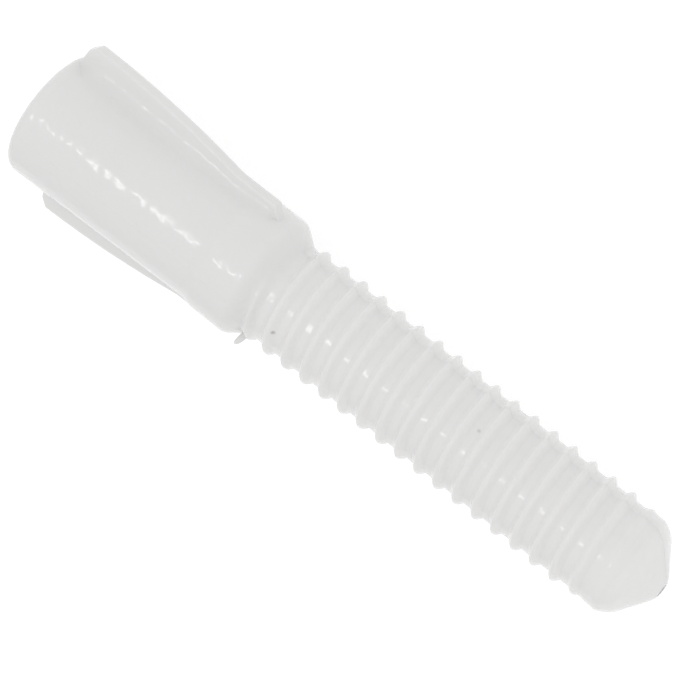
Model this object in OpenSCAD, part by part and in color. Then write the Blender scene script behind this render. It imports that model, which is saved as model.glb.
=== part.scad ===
/* [Head] */
// Length of the tapered head, from its end face to the collar
head_len = 12.3; // [10:0.1:15]
// Diameter of the head at its end face
head_d = 7.3; // [6.9:0.1:9]
// Diameter of the head where it meets the collar
head_neck_d = 6.7; // [6:0.1:6.8]
// Radius of the head's rounded rim
rim_r = 0.6; // [0.2:0.05:0.8]

/* [Wings] */
// Size across both anti-turn wings, edge to edge
wing_span = 10.1; // [9.4:0.1:13]
// Size across the wings where they cross the collar
wing_low_span = 8.3; // [7.8:0.1:9]
// Thickness of a wing
wing_t = 0.7; // [0.4:0.05:1.2]
// How far below the head's end face the first wing starts
wing_a_start = 0.6; // [0.4:0.1:2]
// How far below the head's end face the second wing starts
wing_b_start = 1.7; // [0.3:0.1:3]
// Size of the bevels at both ends of a wing's edge
wing_bevel = 0.5; // [0.2:0.1:0.8]
// Length of a wing's low, level stretch in front of the collar
wing_low_len = 1.5; // [0.5:0.1:3]
// How far the wings run on over the collar before they end
wing_foot = 1; // [0.4:0.1:1.2]

/* [Collar] */
// Diameter of the collar, which fills the mouth of the wall hole
collar_d = 7; // [6.9:0.1:8.6]
// Length of the parallel collar
collar_len = 2.2; // [1.5:0.1:4]
// Length of the shoulder that slopes down to the legs
shoulder_len = 1.1; // [0.6:0.1:2]

/* [Legs] */
// Diameter of the two legs together, at the foot of the thread
shank_d = 5.4; // [4.8:0.1:6.6]
// Length of the legs, from the shoulder to the nose
shank_len = 22.3; // [16:0.1:32]
// Width of the slit between the legs
slit_w = 0.3; // [0.2:0.05:0.6]

/* [Thread] */
// Distance from one turn of the thread to the next
thread_pitch = 1.23; // [1:0.01:1.6]
// Height of the thread above the legs
thread_h = 0.3; // [0.15:0.05:0.5]
// Width of the thread at its foot
thread_foot_w = 0.66; // [0.4:0.02:0.8]
// Width of the thread at its crest
thread_crest_w = 0.2; // [0.1:0.02:0.3]
// Distance from the shoulder to the crest of the first whole turn
thread_start = 0.84; // [0.6:0.02:1.2]

/* [Nose] */
// Length of the nose
nose_len = 2.1; // [1.6:0.1:4]
// Diameter of the flat at the end of the nose
nose_tip_d = 1.3; // [1.1:0.1:2]
// Radius that blends the legs into the nose
nose_blend_r = 1.2; // [0.5:0.1:1.4]

/* [Screw channel] */
// Diameter of the screw's bore through the head and the collar
bore_d = 3.6; // [2.8:0.1:4.4]
// Diameter of the channel where it leaves the nose
channel_tip_d = 0.9; // [0.6:0.1:1]
// Depth of the bevel that leads the screw into the bore
lead_in = 0.5; // [0.2:0.1:0.8]

/* [Hidden] */
$fn = 96;

// Places along the axis, from the head's end face at 0 to the end of the nose
collar_x = head_len;
shoulder_x = collar_x + collar_len;
leg_x = shoulder_x + shoulder_len;
nose_x = leg_x + shank_len;
end_x = nose_x + nose_len;

// Radii
bore_r = bore_d / 2;
channel_tip_r = channel_tip_d / 2;
shank_r = shank_d / 2;
collar_r = collar_d / 2;

// A wing's edge is an arc, level near the head's end face, then a low straight foot over the collar
// that always stands a little above it
wing_level_x = wing_a_start + wing_bevel;
wing_low_x = collar_x - wing_low_len;
wing_low_least = 0.2;
wing_low_r = max(wing_low_span / 2, collar_r + wing_low_least);
wing_foot_x = collar_x + wing_foot;
wing_run = wing_low_x - wing_level_x;
wing_drop = wing_span / 2 - wing_low_r;
wing_arc_r = (wing_run * wing_run + wing_drop * wing_drop) / (2 * wing_drop);

// The thread's turns: the angle grows from +Y towards +Z, and the thread is right-handed
thread_sink = 0.08;
thread_step = 15;
thread_fade_in = 40;
thread_fade_out = 500;
thread_first_share = 0.4;
thread_least_share = 0.02;
slit_spare_angle = 0.1;
slit_angle = asin(slit_w / 2 / (shank_r - thread_sink)) + slit_spare_angle;
thread_from = -(thread_start - thread_foot_w / 2) * 360 / thread_pitch;
thread_to = (shank_len - thread_start - thread_foot_w / 2) * 360 / thread_pitch;

// The nose: a rounded shoulder, then a straight slope down to the flat end
nose_slope = slope_from(nose_len, shank_r - nose_tip_d / 2, nose_blend_r);

translucent_white = [0.89, 0.89, 0.87];
cut = 0.5;
wing_steps = 24;
blend_steps = 8;

// Angle of the line that leaves an arc of radius r and reaches the point (run, drop)
function slope_from(run, drop, r) =
    let (reach = sqrt(run * run + (drop - r) * (drop - r)))
    asin(r / reach) + atan2(drop - r, run);

function arc(cx, cy, r, from, to, steps) = [
    for (i = [0 : steps])
        let (a = from + (to - from) * i / steps)
        [cx + r * cos(a), cy + r * sin(a)]
];

// Turns a profile drawn as [x, radius] about the X axis
module turned() {
    rotate([0, 90, 0])
        rotate_extrude()
            mirror([1, -1])
                children();
}

module head_outline() {
    rim_slope = atan2((head_d - head_neck_d) / 2, head_len);
    polygon(concat(
        [[0, 0]],
        arc(rim_r, head_d / 2 - rim_r, rim_r, 180, 90 - rim_slope, blend_steps),
        [[head_len, head_neck_d / 2], [head_len, 0]]
    ));
}

module collar_outline() {
    polygon([
        [collar_x, 0], [collar_x, collar_r], [shoulder_x, collar_r],
        [leg_x, shank_r], [leg_x, 0]
    ]);
}

module leg_outline() {
    polygon([[leg_x, bore_r], [leg_x, shank_r], [nose_x, shank_r], [nose_x, channel_tip_r]]);
}

module nose_outline() {
    polygon(concat(
        [[nose_x, channel_tip_r]],
        arc(nose_x, shank_r - nose_blend_r, nose_blend_r, 90, 90 - nose_slope, blend_steps),
        [[end_x, nose_tip_d / 2], [end_x, channel_tip_r]]
    ));
}

module along_x(x, len, r_from, r_to) {
    translate([x, 0, 0])
        rotate([0, 90, 0])
            cylinder(h = len, r1 = r_from, r2 = r_to);
}

module head_core() {
    color(translucent_white)
        difference() {
            turned() head_outline();
            along_x(-cut, head_len + 2 * cut, bore_r, bore_r);
            along_x(-cut, lead_in + cut, bore_r + lead_in + cut, bore_r);
        }
}

// One wing's side view, from inside the head out to its edge
module wing_outline(start) {
    inside = head_neck_d / 2 - cut;
    edge = wing_span / 2;
    from = 90 - asin((start + wing_bevel - wing_level_x) / wing_arc_r);
    to = 90 - asin(wing_run / wing_arc_r);
    polygon(concat(
        [[start, inside], [start, edge - wing_bevel]],
        arc(wing_level_x, edge - wing_arc_r, wing_arc_r, from, to, wing_steps),
        [
            [wing_foot_x, wing_low_r],
            [wing_foot_x + wing_bevel, collar_r], [wing_foot_x + wing_bevel, inside]
        ]
    ));
}

module wing(start) {
    color(translucent_white)
        difference() {
            translate([0, 0, -wing_t / 2])
                linear_extrude(wing_t)
                    wing_outline(start);
            turned() head_outline();
            turned() collar_outline();
        }
}

module wing_a() {
    wing(wing_a_start);
}

module wing_b() {
    rotate([180, 0, 0]) wing(wing_b_start);
}

module collar() {
    color(translucent_white)
        difference() {
            turned() collar_outline();
            along_x(collar_x - cut, leg_x - collar_x + 2 * cut, bore_r, bore_r);
        }
}

// Keeps the half of a turned shape that lies above the slit
module upper_half(x, len) {
    intersection() {
        children();
        translate([x, -shank_d, slit_w / 2])
            cube([len, 2 * shank_d, shank_d]);
    }
}

module leg() {
    color(translucent_white)
        upper_half(leg_x, shank_len)
            turned() leg_outline();
}

module leg_a() {
    leg();
}

module leg_b() {
    rotate([180, 0, 0]) leg();
}

module nose() {
    color(translucent_white)
        upper_half(nose_x, nose_len)
            turned() nose_outline();
}

module nose_a() {
    nose();
}

module nose_b() {
    rotate([180, 0, 0]) nose();
}

// Share of the thread's full height at an angle: it rises at the shoulder and fades at the nose
function thread_rise(a) = max(thread_least_share, min(1,
    thread_first_share + (a - thread_from) / thread_fade_in,
    (thread_to - a) / thread_fade_out
));

function thread_section(a) =
    let (
        x = leg_x + thread_start + thread_pitch * a / 360,
        foot = thread_foot_w / 2,
        crest = thread_crest_w / 2,
        low = shank_r - thread_sink,
        high = shank_r + thread_h * thread_rise(a)
    )
    [
        for (p = [
            [-foot, low], [-foot, shank_r], [-crest, high],
            [crest, high], [foot, shank_r], [foot, low]
        ])
            [x + p[0], p[1] * cos(a), p[1] * sin(a)]
    ];

// One stretch of the thread, as a bar swept between two angles
module thread_bar(from, to) {
    sides = 6;
    steps = max(1, ceil((to - from) / thread_step));
    points = [
        for (i = [0 : steps])
            each thread_section(from + (to - from) * i / steps)
    ];
    faces = concat(
        [[for (j = [sides - 1 : -1 : 0]) j]],
        [
            for (i = [0 : steps - 1], j = [0 : sides - 1])
                let (
                    near = i * sides,
                    far = near + sides,
                    next = (j + 1) % sides
                )
                each [[near + j, near + next, far + j], [near + next, far + next, far + j]]
        ],
        [[for (j = [0 : sides - 1]) steps * sides + j]]
    );
    polyhedron(points, faces);
}

// Half turns on one leg: the even ones lie on leg_a and the odd ones on leg_b
module half_turns(odd) {
    color(translucent_white)
        for (h = [floor(thread_from / 180) : floor(thread_to / 180)])
            if (abs(h % 2) == odd) {
                from = max(180 * h + slit_angle, thread_from);
                to = min(180 * (h + 1) - slit_angle, thread_to);
                if (to > from + 1)
                    thread_bar(from, to);
            }
}

module thread_a() {
    half_turns(0);
}

module thread_b() {
    half_turns(1);
}

head_core();
wing_a();
wing_b();
collar();
leg_a();
leg_b();
thread_a();
thread_b();
nose_a();
nose_b();
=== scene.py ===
# %% [markdown]
# # A moulded wall anchor
# The anchor is one injection moulding in a milky white plastic. A hollow head with two thin wings
# stops it from turning in the hole, a collar and a sloped shoulder follow, and then two legs with a
# fine thread run down to a blunt nose. A screw that is driven in spreads the legs.
# The imported CAD model is loaded first and stays fixed. Every skin made below takes its sizes from
# it, so the looks can't drift away from the mechanism.

# %% Load the frame
import math

import bmesh
import bpy
from mathutils import Matrix, Vector


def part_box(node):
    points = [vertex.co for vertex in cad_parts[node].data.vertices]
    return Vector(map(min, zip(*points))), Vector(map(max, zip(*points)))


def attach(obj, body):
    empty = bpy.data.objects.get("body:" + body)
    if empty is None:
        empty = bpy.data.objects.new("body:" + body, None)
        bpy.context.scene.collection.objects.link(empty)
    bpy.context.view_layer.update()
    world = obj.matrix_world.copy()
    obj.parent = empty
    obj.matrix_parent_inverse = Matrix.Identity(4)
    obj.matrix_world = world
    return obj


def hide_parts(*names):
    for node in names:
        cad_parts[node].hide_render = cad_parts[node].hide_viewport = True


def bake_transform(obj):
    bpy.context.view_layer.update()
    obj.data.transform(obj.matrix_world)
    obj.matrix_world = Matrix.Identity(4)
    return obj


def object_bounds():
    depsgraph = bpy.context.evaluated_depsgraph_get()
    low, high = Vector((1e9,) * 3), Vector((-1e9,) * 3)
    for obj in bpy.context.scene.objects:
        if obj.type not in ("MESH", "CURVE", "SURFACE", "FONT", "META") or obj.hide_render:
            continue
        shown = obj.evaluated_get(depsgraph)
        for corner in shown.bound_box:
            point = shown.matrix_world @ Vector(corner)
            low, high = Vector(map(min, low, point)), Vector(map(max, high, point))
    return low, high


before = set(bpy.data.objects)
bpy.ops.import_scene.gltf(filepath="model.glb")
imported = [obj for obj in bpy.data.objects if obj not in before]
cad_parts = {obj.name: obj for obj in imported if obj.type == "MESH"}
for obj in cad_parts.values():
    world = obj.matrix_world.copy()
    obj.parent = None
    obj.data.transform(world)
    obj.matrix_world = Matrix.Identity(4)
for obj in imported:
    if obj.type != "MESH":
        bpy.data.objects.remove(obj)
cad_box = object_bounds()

MM = 0.001
print("CAD box in mm:", [[round(value / MM, 2) for value in corner] for corner in cad_box])

# %% [markdown]
# ## Sizes
# A skin could carry its own list of sizes, but then a change in the CAD would leave it behind.
# Here each radius and each place along the X axis is read from the boxes of the CAD nodes, and
# only what a box can't tell, such as the thread's pitch, is written down.

# %% Sizes from the frame
head_end_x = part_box("head_core")[1].x
head_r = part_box("head_core")[1].z
collar_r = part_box("collar")[1].z
leg_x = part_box("leg_a")[0].x
shank_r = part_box("leg_a")[1].z
crest_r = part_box("thread_a")[1].z
nose_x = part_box("nose_a")[0].x
end_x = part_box("nose_a")[1].x
wing_edge_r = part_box("wing_a")[1].y
wing_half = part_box("wing_a")[1].z
wing_a_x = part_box("wing_a")[0].x
wing_b_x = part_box("wing_b")[0].x
wing_end_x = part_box("wing_a")[1].x
print("head ends at", round(head_end_x / MM, 2), "and the legs start at", round(leg_x / MM, 2))

# %% Sizes that a box can't tell
collar_len = 2.2 * MM
collar_end_x = head_end_x + collar_len
bore_r = 1.8 * MM
neck_r = 3.35 * MM
rim_r = 0.6 * MM
wing_bevel = 0.5 * MM
wing_low_r = 4.15 * MM
wing_low_len = 1.5 * MM
wing_low_x = head_end_x - wing_low_len
pitch = 1.23 * MM
first_crest = 0.84 * MM
ridge_half_width = 0.40 * MM
slit_half = 0.003 * MM
channel_tip_r = 0.35 * MM
tip_r = 0.55 * MM
nose_blend_r = 1.2 * MM
lead_in = 0.5 * MM
print("collar ends at", round(collar_end_x / MM, 2))
print("turns of thread:", round((nose_x - leg_x - first_crest) / pitch, 1))

# %% [markdown]
# ## Helpers for skins
# A turned part with something standing on it could be a cylinder and a boolean, which leaves long
# thin triangles that catch the light. A skin of quads is cleaner: it is a grid of points, row by
# row along the axis and column by column round it, and only the formula of the points changes.

# %% Smooth steps and grids
def ease(value, start, stop):
    """0 before start, 1 after stop, and a smooth rise between them."""
    share = min(1.0, max(0.0, (value - start) / (stop - start)))
    return share * share * (3 - 2 * share)


def spread(start, stop, count):
    """count + 1 even steps from start to stop."""
    return [start + (stop - start) * i / count for i in range(count + 1)]


def quads(mesh, grid, round_columns=False):
    """Faces of four corners between the neighbours in a grid of vertices."""
    columns = len(grid[0]) if round_columns else len(grid[0]) - 1
    for here, after in zip(grid, grid[1:]):
        for j in range(columns):
            k = (j + 1) % len(here)
            mesh.faces.new((here[j], here[k], after[k], after[j]))


sharp_angle = math.radians(62)


def finish_piece(mesh, name):
    """Turns the bmesh into an object, faces outwards, smooth except along its sharp edges."""
    bmesh.ops.recalc_face_normals(mesh, faces=mesh.faces)
    if mesh.calc_volume(signed=True) < 0:
        bmesh.ops.reverse_faces(mesh, faces=mesh.faces)
    for face in mesh.faces:
        face.smooth = True
    for edge in mesh.edges:
        edge.smooth = edge.calc_face_angle(0) < sharp_angle
    data = bpy.data.meshes.new(name)
    mesh.to_mesh(data)
    mesh.free()
    piece = bpy.data.objects.new(name, data)
    bpy.context.scene.collection.objects.link(piece)
    area = sum(face.area for face in data.polygons) / MM ** 2
    print(f"{name}: {len(data.polygons)} faces, {area:.0f} mm2 of skin")
    return piece


# %% [markdown]
# ## The thread
# The thread is a low rounded ridge that climbs once round both legs for every 1.23 mm. It could be
# a bar swept along a helix and joined on, but a real mould leaves no joint at its foot. So the ridge
# is a height on the leg's own skin: the nearest crest is found for any place and angle, and the skin
# rises towards it. The ridge starts on the shoulder's slope and fades out over nearly two turns.

# %% Height of the thread
run_in = 0.2 * MM
run_out = 0.1 * MM
turns_before = (first_crest + run_in) / pitch
turns_in_all = (nose_x - leg_x - first_crest + run_out) / pitch
begin_turns = 0.1
fade_turns = 1.8


def ridge_height(x, turn):
    """Height of the thread above the shank at x, where turn is 0 at +Y and 0.25 at +Z."""
    along = (x - leg_x - first_crest) / pitch - turn
    crest = round(along)
    wound = crest + turn
    away = abs(along - crest) * pitch
    rise = 1 - ease(away, 0, ridge_half_width)
    begins = ease(wound, -turns_before - begin_turns, -turns_before + begin_turns)
    fades = min(1.0, max(0.0, (turns_in_all - wound) / fade_turns))
    return (crest_r - shank_r) * rise * begins * fades


crests = [leg_x + first_crest + turn * pitch for turn in range(0, 19, 3)]
print("thread height in mm:", [round(ridge_height(x, 0) / MM, 2) for x in crests])

# %% [markdown]
# ## The sleeve: head, wings, collar and shoulder
# On the real anchor these are one body of plastic, with a small fillet where each wing grows out
# of the head. Separate pieces would show seams there, so the sleeve is drawn as one row of cross
# sections. Each is a circle with two wings drawn onto it, and the wing's height changes along the
# axis. Where the height falls to nothing the section is the plain circle again, so the wings run
# out into the collar without an edge.

# %% The sleeve's outline
collar_rise_x = head_end_x - 0.6 * MM
collar_top_x = head_end_x + 0.1 * MM
core_softness = 0.2 * MM
wing_softness = 0.08 * MM
taps_in_mean = 8


def plain_core(x):
    """Radius of the core at x, before its corners are softened."""
    if x < collar_end_x:
        neck = head_r + (neck_r - head_r) * x / head_end_x
        return neck + (collar_r - neck) * ease(x, collar_rise_x, collar_top_x)
    share = min(1.0, (x - collar_end_x) / (leg_x - collar_end_x))
    return collar_r + (shank_r - collar_r) * share


def plain_wing(x, start):
    """Distance of a wing's edge from the axis at x, with sharp corners."""
    if x < start or x > wing_end_x:
        return 0.0
    level_x = wing_a_x + wing_bevel
    run = wing_low_x - level_x
    drop = wing_edge_r - wing_low_r
    arc_r = (run * run + drop * drop) / (2 * drop)
    edge = wing_edge_r - arc_r + math.sqrt(arc_r ** 2 - min(run, max(0.0, x - level_x)) ** 2)
    front = wing_edge_r - wing_bevel + (x - start)
    foot = collar_r + (wing_end_x - x) / wing_bevel * (wing_low_r - collar_r)
    return min(edge, front, foot)


def softened(outline, x, reach):
    """The outline with its corners rounded, as a mean over a short reach."""
    taps = spread(x - reach, x + reach, taps_in_mean)
    return sum(outline(tap) for tap in taps) / len(taps)


def core_radius(x):
    """Radius of the finished core at x, from the rounded rim of the head onwards."""
    if x < rim_r:
        drop = rim_r - math.sqrt(max(0.0, rim_r ** 2 - (rim_r - x) ** 2))
        return plain_core(x) - drop
    return softened(plain_core, x, min(core_softness, x - rim_r))


def wing_height(x, start):
    """How far a wing's edge stands above the core."""
    edge = softened(lambda at: max(plain_core(at), plain_wing(at, start)), x, wing_softness)
    return max(0.0, edge - softened(plain_core, x, wing_softness))


heights = [round(wing_height(x * MM, wing_a_x) / MM, 2) for x in (1, 4, 8, 12)]
print("wing height in mm:", heights)

# %% The legs' outline
nose_run = end_x - nose_x
nose_drop = shank_r - tip_r
nose_reach = math.hypot(nose_run, nose_drop - nose_blend_r)
nose_slope = math.asin(nose_blend_r / nose_reach) + math.atan2(nose_drop - nose_blend_r, nose_run)
blend_x = nose_x + nose_blend_r * math.sin(nose_slope)
blend_r = shank_r - nose_blend_r * (1 - math.cos(nose_slope))
swell_height = 0.09 * MM
swell_start_x = nose_x - 1.2 * MM
swell_full_x = nose_x - 0.4 * MM
swell_fall_x = nose_x + 0.1 * MM
swell_end_x = nose_x + 0.7 * MM


def nose_swelling(x):
    """How much the skin swells where the thread runs out and the nose begins."""
    rise = ease(x, swell_start_x, swell_full_x)
    return swell_height * (rise * (1 - ease(x, swell_fall_x, swell_end_x)))


def plain_nose(x):
    """Radius of the skin at x, from the shank over a slight swelling to the end of the nose."""
    if x < nose_x:
        return shank_r + nose_swelling(x)
    if x < blend_x:
        arc = math.sqrt(nose_blend_r ** 2 - (x - nose_x) ** 2)
        return shank_r - nose_blend_r + arc + nose_swelling(x)
    return blend_r + (tip_r - blend_r) * (x - blend_x) / (end_x - blend_x)


def channel_radius(x):
    """Radius of the channel at x, which narrows from the bore to the end of the shank."""
    share = min(1.0, (x - leg_x) / (nose_x - leg_x))
    return bore_r + (channel_tip_r - bore_r) * share


print("nose slope in degrees:", round(math.degrees(nose_slope), 1))

# %% The whole outer skin
shoulder_foot_x = leg_x + 0.5 * MM


def outer_radius(x, turn):
    """Radius of the skin with its thread, which starts on the slope of the shoulder."""
    ridge = ridge_height(x, turn % 1.0)
    if x < shoulder_foot_x:
        return shank_r + math.hypot(core_radius(x) - shank_r, ridge)
    return plain_nose(x) + ridge


print("radius at the foot of the shoulder in mm:", round(outer_radius(leg_x, 0.3) / MM, 2))

# %% Sizes of a cross section
top_steps = 3
round_steps = 4
side_steps = 3
fillet_steps = 6
core_steps = 20
edge_round = 0.16 * MM
least_round_share = 0.1
full_round_height = 0.8 * MM
root_fillet = 1.1 * MM
least_fillet = 0.03 * MM
fillet_room_share = 0.9
fillet_lead = 0.3 * MM
fillet_run = 1.3 * MM
wing_fade_height = 0.15 * MM
parting_ridge = 0.018 * MM
parting_width_degrees = 1.2
parting_columns = [math.radians(89), math.pi / 2]
print("wing's root fillet in mm:", round(root_fillet / MM, 2))

# %% One quarter of a cross section
def root_fillet_at(x, start):
    """The fillet of a wing's root is small at both of its ends and full between them."""
    front = ease(x, start - fillet_lead, start + fillet_run)
    return root_fillet * front * ease(wing_end_x - x, 0, fillet_run)


def quarter_section(core, height, fillet):
    """Points (across, up) from the middle of a wing's edge round to a quarter turn away."""
    full = ease(height, 0.0, wing_fade_height)
    near = edge_round * min(1.0, least_round_share + height / full_round_height)
    edge = core + height
    room = ((edge - near) ** 2 - core ** 2 + wing_half ** 2) / (2 * (core - wing_half))
    fillet = max(least_fillet, min(fillet, fillet_room_share * room))
    reach = math.sqrt((core + fillet) ** 2 - (wing_half + fillet) ** 2)
    wing = [(edge, up) for up in spread(0, wing_half - near, top_steps)]
    for turn in spread(0, 90, round_steps)[1:]:
        turn = math.radians(turn)
        across = edge - near + near * math.cos(turn)
        wing.append((across, wing_half - near + near * math.sin(turn)))
    wing += [(across, wing_half) for across in spread(edge - near, reach, side_steps)[1:]]
    foot = math.atan2(wing_half + fillet, reach)
    for turn in spread(-math.pi / 2, foot - math.pi, fillet_steps)[1:]:
        across = reach + fillet * math.cos(turn)
        wing.append((across, wing_half + fillet + fillet * math.sin(turn)))
    points = []
    for across, up in wing:
        shrunk = full + (1 - full) * core / math.hypot(across, up)
        points.append((across * shrunk, up * shrunk))
    start = math.atan2(points[-1][1], points[-1][0])
    for turn in spread(start, math.radians(88), core_steps)[1:] + parting_columns:
        ridge = parting_ridge * (1 - ease(90 - math.degrees(turn), 0, parting_width_degrees))
        points.append(((core + ridge) * math.cos(turn), (core + ridge) * math.sin(turn)))
    return points


print("points in a quarter:", len(quarter_section(head_r, 1 * MM, root_fillet)))

# %% Rings of the sleeve
def sleeve_ring(x, start_a, start_b):
    """A whole cross section, with wing A on +Y and wing B on -Y."""
    core = core_radius(x)
    side_a = quarter_section(core, wing_height(x, start_a), root_fillet_at(x, start_a))
    side_b = quarter_section(core, wing_height(x, start_b), root_fillet_at(x, start_b))
    ring = [(y, z) for y, z in side_a]
    ring += [(-y, z) for y, z in reversed(side_b[:-1])]
    ring += [(-y, -z) for y, z in side_b[1:]]
    ring += [(y, -z) for y, z in reversed(side_a[1:-1])]
    if x > collar_end_x:
        turns = [math.atan2(z, y) / (2 * math.pi) for y, z in ring]
        grown = [outer_radius(x, turn) / core for turn in turns]
        ring = [(y * grow, z * grow) for (y, z), grow in zip(ring, grown)]
    return [(x, y, z) for y, z in ring]


def round_ring(x, radius, like):
    """A circle of points at the same angles as those of another ring."""
    turns = [math.atan2(z, y) for _, y, z in like]
    return [(x, radius * math.cos(turn), radius * math.sin(turn)) for turn in turns]


print("points in a ring:", len(sleeve_ring(head_end_x, wing_a_x, wing_b_x)))

# %% Where the sleeve's rings stand
tight = 0.1 * MM
wide = 0.2 * MM
least_gap = 0.012 * MM
face_inset = 0.15 * MM
broken_edge = 0.05 * MM
edge_depth = 0.03 * MM
bore_step = 0.02 * MM
bore_rings = 12


def sleeve_stretches():
    """Start, end and number of steps of each stretch, fine where the outline turns a corner."""
    wing_fronts = [(start - tight, start + wing_bevel + wide, 20) for start in (wing_a_x, wing_b_x)]
    head = (1.0 * MM, head_end_x - wide, 28)
    collar_rise = (collar_rise_x - wide, head_end_x + 0.3 * MM, 12)
    collar_level = (head_end_x + 0.4 * MM, collar_end_x - 0.3 * MM, 5)
    wing_ends = (wing_end_x - wing_bevel - tight, wing_end_x + tight, 8)
    shoulder_corner = (collar_end_x - wide, collar_end_x + wide, 8)
    shoulder_slope = (collar_end_x + 0.25 * MM, leg_x, 12)
    return wing_fronts + [head, collar_rise, collar_level, wing_ends, shoulder_corner, shoulder_slope]


def sleeve_places():
    """Places along the axis from the rim to the legs, without those that nearly coincide."""
    places = [rim_r * (1 - math.cos(math.radians(turn))) for turn in spread(0, 90, 8)]
    for start, end, steps in sleeve_stretches():
        places += spread(start, end, steps)
    places = sorted(place for place in places if place >= 0)
    kept = [places[0]]
    for place in places[1:]:
        if place - kept[-1] > least_gap:
            kept.append(place)
    return kept


def sleeve_rows():
    """Rings from the rim over the head to the foot of the shoulder, and others down the bore."""
    outer = [sleeve_ring(x, wing_a_x, wing_b_x) for x in sleeve_places()]
    like = outer[0]
    end_face = [(0.0, head_r - rim_r - face_inset), (0.0, bore_r + lead_in + broken_edge)]
    bevel = [(edge_depth, bore_r + lead_in), (lead_in, bore_r + bore_step)]
    inner = [round_ring(x, radius, like) for x, radius in end_face + bevel]
    inner += [round_ring(x, bore_r, like) for x in spread(lead_in + wide, leg_x, bore_rings)]
    return outer, inner


print("rings in the sleeve:", len(sleeve_rows()[0]))

# %% [markdown]
# ## The legs
# Each leg is half of a tube that the slit has parted, closed off by half of the nose. The rows of
# its outer skin follow the thread, leaning by one pitch a turn, because a row that crosses a crest
# would make it ripple. Near the shoulder and the nose the rows straighten up again. The inner skin
# is the narrowing channel, and flat walls join the two along the slit.
# The columns are those of the sleeve's last ring, so that a leg can grow out of it point by point.

# %% Rows of a leg
rows_per_turn = 18
nose_rows = 24
straight_zone = 1.6 * MM
slit_lead = 0.3 * MM
tip_room = 0.12 * MM
tip_rings = [(end_x - 0.05 * MM, tip_r + 0.01 * MM), (end_x, tip_r - 0.06 * MM)]
last_ring = sleeve_ring(leg_x, wing_a_x, wing_b_x)
half = len(last_ring) // 2
leg_turns = [math.atan2(z, y) / (2 * math.pi) for _, y, z in last_ring[:half + 1]]


def leg_places():
    """Places along the axis at the middle of a leg."""
    count = round((nose_x - leg_x) / pitch * rows_per_turn)
    return spread(leg_x, nose_x, count) + spread(nose_x, end_x - tip_room, nose_rows)[1:]


def leaning(x, turn):
    """Where a row that is at x in the middle of the leg stands at this turn."""
    lean = ease(x, leg_x, leg_x + straight_zone)
    lean *= 1 - ease(x, nose_x - straight_zone, nose_x)
    return x + lean * pitch * (turn - 0.25)


def leg_point(x, turn, radius):
    """A point on the upper leg, kept above the slit."""
    angle = turn * 2 * math.pi
    low = slit_half * ease(x, leg_x, leg_x + slit_lead)
    return (x, radius * math.cos(angle), max(low, radius * math.sin(angle)))


def leg_rows(lower):
    """The rows of a leg's outer skin and of its channel. The lower leg is turned half round."""
    outer, inner = [], []
    flip = -1 if lower else 1
    for x in leg_places():
        places = [leaning(x, turn) for turn in leg_turns]
        wound = [turn + (0.5 if lower else 0.0) for turn in leg_turns]
        radii = [outer_radius(at, turn) for at, turn in zip(places, wound)]
        depths = [channel_radius(at) for at in places]
        outer.append([leg_point(*where) for where in zip(places, leg_turns, radii)])
        inner.append([leg_point(*where) for where in zip(places, leg_turns, depths)])
    for x, radius in tip_rings:
        outer.append([leg_point(x, turn, radius) for turn in leg_turns])
        inner.append([leg_point(x, turn, channel_tip_r) for turn in leg_turns])
    outer = [[(x, y * flip, z * flip) for x, y, z in row] for row in outer]
    inner = [[(x, y * flip, z * flip) for x, y, z in row] for row in inner]
    return outer, inner


print("columns on a leg:", len(leg_turns))

# %% [markdown]
# ## Sleeve and upper leg in one skin
# Light wanders about inside milky plastic, but in a render it can't wander from one object into the
# next, and a butt joint between two skins shows as a dark line. The sleeve and the upper leg are one
# body of plastic on the real anchor, so they share one closed skin here. Only the lower leg, on the
# far side of the slit, has a skin of its own.

# %% Closed skins
def vertices(mesh, rows):
    """A vertex of the mesh for every point in the rows."""
    return [[mesh.verts.new(point) for point in row] for row in rows]


def close_leg(mesh, outer, inner):
    """Adds a leg's outer skin, its channel, the two walls of its slit and its end."""
    quads(mesh, outer)
    quads(mesh, inner)
    quads(mesh, [outer[-1], inner[-1]])
    quads(mesh, [[row[0] for row in outer], [row[0] for row in inner]])
    quads(mesh, [[row[-1] for row in outer], [row[-1] for row in inner]])


def make_sleeve_and_leg():
    """The sleeve's skin, with the upper leg grown out of half of its last ring."""
    mesh = bmesh.new()
    outer, inner = [vertices(mesh, rows) for rows in sleeve_rows()]
    quads(mesh, outer, round_columns=True)
    quads(mesh, [outer[0]] + inner, round_columns=True)
    quads(mesh, [outer[-1][half:] + outer[-1][:1], inner[-1][half:] + inner[-1][:1]])
    leg_outer, leg_inner = [vertices(mesh, rows[1:]) for rows in leg_rows(lower=False)]
    shared_outer, shared_inner = outer[-1][:half + 1], inner[-1][:half + 1]
    close_leg(mesh, [shared_outer] + leg_outer, [shared_inner] + leg_inner)
    return finish_piece(mesh, "sleeve_and_leg_a_skin")


def make_lower_leg():
    """The lower leg's skin, closed off at the shoulder."""
    mesh = bmesh.new()
    outer, inner = [vertices(mesh, rows) for rows in leg_rows(lower=True)]
    close_leg(mesh, outer, inner)
    quads(mesh, [outer[0], inner[0]])
    return finish_piece(mesh, "leg_b_skin")


upper_skin = make_sleeve_and_leg()
lower_skin = make_lower_leg()

# %% [markdown]
# ## A whisker of flash
# Where the mould's halves don't quite close, a thin tongue of plastic creeps out and stays on the
# part. One such whisker stands at the foot of the shoulder. It is a short flat blade that bends
# towards the head and thins to a point, drawn as rings round a curved middle line.

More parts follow.
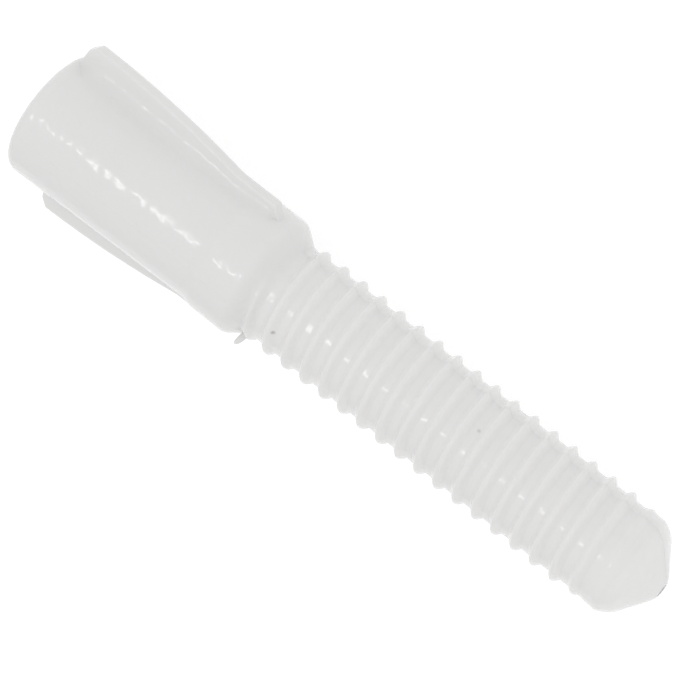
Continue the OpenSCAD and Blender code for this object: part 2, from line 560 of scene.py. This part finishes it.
# %% Whisker
whisker_out = Vector((0, -0.806, 0.592))
whisker_side = Vector((0, 0.592, 0.806))
whisker_root_r = 2.75 * MM
whisker_len = 0.84 * MM
whisker_offset = 0.08 * MM
whisker_bend = 0.16 * MM
whisker_half_width = 0.19 * MM
whisker_half_thickness = 0.06 * MM


def whisker_ring(share):
    """A flat oval across the whisker, from its root at 0 to its rounded tip at 1."""
    middle = Vector((leg_x - whisker_offset - whisker_bend * share ** 1.5, 0, 0))
    middle += whisker_out * (whisker_root_r + whisker_len * share)
    size = math.sqrt(1.02 - share ** 4)
    turns = [math.radians(turn) for turn in range(0, 360, 30)]
    half_width = Vector((whisker_half_width * size, 0, 0))
    half_thickness = whisker_side * (whisker_half_thickness * size)
    return [middle + half_width * math.cos(turn) + half_thickness * math.sin(turn) for turn in turns]


def make_whisker():
    """The whisker's closed skin."""
    mesh = bmesh.new()
    rings = vertices(mesh, [whisker_ring(share) for share in spread(0, 1, 10)])
    quads(mesh, rings, round_columns=True)
    mesh.faces.new(rings[0])
    mesh.faces.new(rings[-1])
    return finish_piece(mesh, "flash_whisker")


whisker = make_whisker()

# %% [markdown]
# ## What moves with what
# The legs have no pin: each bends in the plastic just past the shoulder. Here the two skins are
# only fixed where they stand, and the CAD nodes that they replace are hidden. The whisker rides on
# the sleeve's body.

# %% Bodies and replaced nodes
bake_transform(upper_skin)
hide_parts("head_core", "wing_a", "wing_b", "collar", "leg_a", "thread_a", "nose_a")
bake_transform(lower_skin)
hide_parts("leg_b", "thread_b", "nose_b")
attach(whisker, "sleeve")

# %% [markdown]
# ## Writing shaders as expressions
# A node tree can be wired by hand, one link at a time, but the maths is hard to read that way. The
# small class below wraps a socket, so that a + b or 1 - mask adds the Math node by itself.

# %% A socket that can be added and multiplied
class Wire:
    """An output socket in a shader, with the operators of arithmetic."""

    def __init__(self, shader, socket):
        self.shader = shader
        self.socket = socket

    def math(self, operation, *values):
        """A Math node on some wires and numbers."""
        return self.shader.node("ShaderNodeMath", {"operation": operation}, dict(enumerate(values)))

    def __add__(self, other):
        return self.math("ADD", self, other)

    def __mul__(self, other):
        return self.math("MULTIPLY", self, other)

    def __sub__(self, other):
        return self.math("SUBTRACT", self, other)

    def __rsub__(self, other):
        return self.math("SUBTRACT", other, self)

    __radd__ = __add__
    __rmul__ = __mul__


class Shader:
    """The emptied node tree of a material or a world, and the one method that fills it."""

    def __init__(self, owner):
        owner.use_nodes = True
        self.tree = owner.node_tree
        self.tree.nodes.clear()

    def node(self, kind, settings=None, inputs=None, output=0):
        """Adds a node: its settings first, then the values or wires of its sockets."""
        made = self.tree.nodes.new(kind)
        for key, value in (settings or {}).items():
            setattr(made, key, value)
        for key, value in (inputs or {}).items():
            if isinstance(value, Wire):
                self.tree.links.new(value.socket, made.inputs[key])
            else:
                made.inputs[key].default_value = value
        return Wire(self, made.outputs[output]) if made.outputs else None

    def noise(self, position, scale, detail=2.0, roughness=0.5, distortion=0.0):
        """A noise value from 0 to 1, with scale in features a metre."""
        values = {"Vector": position, "Scale": scale, "Detail": detail}
        values.update({"Roughness": roughness, "Distortion": distortion})
        return self.node("ShaderNodeTexNoise", {"normalize": True}, values)

    def blend(self, share, first, second):
        """A mix of two colours."""
        kind = {"data_type": "RGBA"}
        return self.node("ShaderNodeMix", kind, {"Factor": share, 6: first, 7: second}, output=2)

    def step(self, value, start, stop):
        """0 below start, 1 above stop, smooth between."""
        kind = {"interpolation_type": "SMOOTHSTEP"}
        values = {"Value": value, "From Min": start, "From Max": stop}
        return self.node("ShaderNodeMapRange", kind, values)


print("shader helpers ready")

# %% [markdown]
# ## The milky plastic
# Unfilled nylon and polyethylene are cloudy. Subsurface scattering shows that, but at full weight it
# makes thin crests glow more than the plug's body, so it has a small share here and the pale colour
# does the rest. Light is painted into the colour of the legs. They are painted a touch lighter than
# the sleeve, and most of all on the flanks of the thread, in place of light that passes through the
# thin ridge and to lift the shade that falls on the flanks. So a mask from the skin's own direction
# along the plug mixes this painted light into the colour there. Streaks follow the melt's flow along
# the mould, and two dark specks of burnt plastic sit in the thread.
# The skin is glossy but not flat. Slow waves from shrinking and small ripples break a long
# highlight into beads. They go into a bump, because they are far too shallow to see as a shape.

# %% Colours and depths of the plastic
cloud_dark = (0.686, 0.684, 0.677, 1)
cloud_light = (0.706, 0.704, 0.697, 1)
streak_tone = (0.726, 0.729, 0.732, 1)
# Painted light: this tone and the two shares below lighten the legs, and most of all the thread's
# flanks.
painted_leg_light_tone = (0.753, 0.751, 0.744, 1)
speck_tone = (0.42, 0.41, 0.39, 1)
streak_share = 0.35
painted_leg_light_share = 0.4
painted_flank_light_share = 0.6
speck_share = 0.8
speck_core_r = 0.06 * MM
speck_edge_r = 0.18 * MM
speck_places = [Vector((17.08, -0.36, 2.78)) * MM, Vector((28.4, 2.11, 1.84)) * MM]
bump_depth = 0.03 * MM
scatter_depth = 1.1 * MM
print("specks in mm along the plug:", [round(speck.x / MM, 2) for speck in speck_places])

# %% Plastic material
def plastic_colour_with_painted_light(shader, place, streaks):
    """Cloudy white with streaks and two specks, and painted light that lightens the legs and the
    thread's flanks.
    """
    along = shader.node("ShaderNodeSeparateXYZ", {}, {"Vector": place})
    normal = shader.node("ShaderNodeTexCoord", output=1)
    facing = shader.node("ShaderNodeSeparateXYZ", {}, {"Vector": normal})
    # Masks for the painted light: where the legs are, and where the skin faces along the plug, on the
    # thread's flanks.
    on_legs = shader.step(along, leg_x - 0.3 * MM, leg_x + 0.6 * MM)
    flank_light_mask = shader.step(facing.math("ABSOLUTE", facing), 0.2, 0.75)
    cloud = shader.noise(place, scale=260.0, detail=3.0)
    colour = shader.blend(cloud, cloud_dark, cloud_light)
    colour = shader.blend(streaks * streak_share, colour, streak_tone)
    # Painted light: the legs and most of all the thread's flanks are lightened, in place of light
    # through the thin ridge.
    colour = shader.blend(on_legs * (painted_leg_light_share + flank_light_mask * painted_flank_light_share), colour, painted_leg_light_tone)
    for speck in speck_places:
        ends = {0: place, 1: speck}
        away = shader.node("ShaderNodeVectorMath", {"operation": "DISTANCE"}, ends, output=1)
        mark = 1 - shader.step(away, speck_core_r, speck_edge_r)
        colour = shader.blend(mark * speck_share, colour, speck_tone)
    return colour


def milky_plastic():
    """The glossy, cloudy plastic that the whole plug is moulded in."""
    material = bpy.data.materials.new("milky_white_plastic")
    shader = Shader(material)
    place = shader.node("ShaderNodeTexCoord", output=3)
    stretched = shader.node("ShaderNodeMapping", {}, {"Vector": place, "Scale": (0.22, 1.0, 1.0)})
    streaks = shader.noise(stretched, scale=900.0, detail=4.0, distortion=0.6)
    waves = shader.noise(place, scale=750.0, detail=1.0)
    ripples = shader.noise(place, scale=2100.0, detail=0.0)
    grain = shader.noise(place, scale=9000.0, detail=3.0, roughness=0.6)
    height = waves * 0.6 + ripples + streaks * 0.15 + grain * 0.02
    surface_depth = {"Height": height, "Strength": 1.0, "Distance": bump_depth}
    values = {
        "Base Color": plastic_colour_with_painted_light(shader, place, streaks),
        "Roughness": 0.11 + grain * 0.07 + streaks * 0.05,
        "Normal": shader.node("ShaderNodeBump", {}, surface_depth),
        "IOR": 1.5,
        "Specular IOR Level": 0.22,
        "Subsurface Weight": 0.1,
        "Subsurface Radius": (1.0, 0.95, 0.88),
        "Subsurface Scale": scatter_depth,
        "Subsurface Anisotropy": 0.0,
    }
    kind = {"subsurface_method": "RANDOM_WALK"}
    surface = shader.node("ShaderNodeBsdfPrincipled", kind, values)
    shader.node("ShaderNodeOutputMaterial", {}, {"Surface": surface})
    return material


plastic = milky_plastic()
for piece in (upper_skin, lower_skin, whisker):
    piece.data.materials.append(plastic)
print("nodes in the plastic:", len(plastic.node_tree.nodes))

# %% [markdown]
# ## Floor and light
# Small white parts are often set on a sheet of opal acrylic with a lamp under it, because the sheet
# glows and swallows their shadow. The floor here does the same: its own glow outshines what its
# grey sheet reflects, so a shadow hardly shows, and the glow is less in the distance. The world
# is a light tent, brighter overhead than at the level of the floor, which gives the plug its soft
# darker sides. One small strip light, a metre off, draws the narrow highlight along the plug.

# %% Floor
floor_dark = (0.27, 0.27, 0.27, 1)
floor_light = (0.29, 0.29, 0.29, 1)
glow_near = (1.0, 1.0, 1.0, 1)
glow_far = (0.62, 0.62, 0.62, 1)
glow_near_r = 0.2
glow_far_r = 1.4
floor_reach = 2.0


def opal_sheet():
    """The floor's material: a faintly cloudy sheet that glows round the plug."""
    material = bpy.data.materials.new("opal_sheet")
    shader = Shader(material)
    place = shader.node("ShaderNodeTexCoord", output=3)
    away = shader.node("ShaderNodeVectorMath", {"operation": "LENGTH"}, {0: place}, output=1)
    values = {
        "Base Color": shader.blend(shader.noise(place, scale=12.0), floor_dark, floor_light),
        "Roughness": 0.6,
        "Emission Color": shader.blend(shader.step(away, glow_near_r, glow_far_r), glow_near, glow_far),
        "Emission Strength": 0.77,
    }
    surface = shader.node("ShaderNodeBsdfPrincipled", {}, values)
    shader.node("ShaderNodeOutputMaterial", {}, {"Surface": surface})
    return material


def make_floor():
    """A flat sheet at the lowest point of the CAD model, facing up."""
    mesh = bmesh.new()
    level = cad_box[0].z
    sides = (-floor_reach, floor_reach)
    quads(mesh, [[mesh.verts.new((x, y, level)) for y in sides] for x in sides])
    floor = finish_piece(mesh, "floor")
    if floor.data.polygons[0].normal.z < 0:
        floor.data.flip_normals()
    floor.data.materials.append(opal_sheet())


make_floor()
print("floor at", round(cad_box[0].z / MM, 2), "mm")

# %% World and strip light
def make_world(low, high, towards):
    """A light tent that brightens from low, level with the floor, to high in one direction."""
    world = bpy.data.worlds.new("light_tent")
    shader = Shader(world)
    ends = {0: shader.node("ShaderNodeTexCoord"), 1: Vector(towards).normalized()}
    facing = shader.node("ShaderNodeVectorMath", {"operation": "DOT_PRODUCT"}, ends, output=1)
    colour = shader.blend(shader.step(facing, 0.0, 1.0), (low, low, low, 1), (high, high, high, 1))
    light = shader.node("ShaderNodeBackground", {}, {"Color": colour, "Strength": 1.0})
    shader.node("ShaderNodeOutputWorld", {}, {"Surface": light})
    bpy.context.scene.world = world


def make_strip(towards, centre, distance, length, width, energy):
    """A rectangular light that faces centre from one direction, long along the plug."""
    lamp = bpy.data.lights.new("strip", "AREA")
    lamp.shape = "RECTANGLE"
    lamp.size = length
    lamp.size_y = width
    lamp.energy = energy
    light = bpy.data.objects.new("strip", lamp)
    back = Vector(towards).normalized()
    side = (Vector((1, 0, 0)) - back * back.x).normalized()
    turn = Matrix((side, back.cross(side), back)).transposed()
    light.matrix_world = Matrix.Translation(centre + back * distance) @ turn.to_4x4()
    bpy.context.scene.collection.objects.link(light)


make_world(low=0.74, high=1.09, towards=(0.0, 0.15, 0.99))
make_strip(
    towards=(-0.208, 0.161, 0.965),
    centre=Vector((0.5 * end_x, 0, 0)),
    distance=1.0,
    length=0.12,
    width=0.055,
    energy=0.62,
)

# %% [markdown]
# ## Camera
# A long lens keeps the plug nearly free of perspective. The camera stands square to the axis, a
# little towards the nose, and is rolled so that the plug lies from the upper left to the lower
# right. The three directions are worked out from two angles, the roll and the lean.

# %% Camera
lean = math.radians(12)
roll = math.radians(38.27)
aim_x = 20.26 * MM
aim_drop = 0.21 * MM
camera_distance = 165.8 * MM
focal_length = 169.6
film_width = 36.0


def camera_directions():
    """The camera's right, up and back, and the direction across the plug, from lean and roll."""
    square = Vector((0, 0.592, 0.806)).normalized()
    across = Vector((0, 0.806, -0.592)).normalized()
    back = Vector((1, 0, 0)) * math.sin(lean) + square * math.cos(lean)
    along = (Vector((1, 0, 0)) - back * back.x).normalized()
    right = along * math.cos(roll) + across * math.sin(roll)
    up = across * math.cos(roll) - along * math.sin(roll)
    return right, up, back, across


def make_camera():
    """The scene's camera, aimed at the middle of the plug."""
    right, up, back, across = camera_directions()
    lens = bpy.data.cameras.new("camera")
    lens.sensor_width = film_width
    lens.lens = focal_length
    lens.clip_start = 0.001
    lens.clip_end = 10.0
    camera = bpy.data.objects.new("camera", lens)
    aim = Vector((aim_x, 0, 0)) - across * aim_drop
    turn = Matrix((right, up, back)).transposed()
    camera.matrix_world = Matrix.Translation(aim + back * camera_distance) @ turn.to_4x4()
    bpy.context.scene.collection.objects.link(camera)
    bpy.context.scene.camera = camera
    return camera


camera = make_camera()
bpy.context.scene.view_settings.view_transform = "Standard"
bpy.context.scene.view_settings.look = "None"
print("camera at", [round(value, 4) for value in camera.matrix_world.translation])
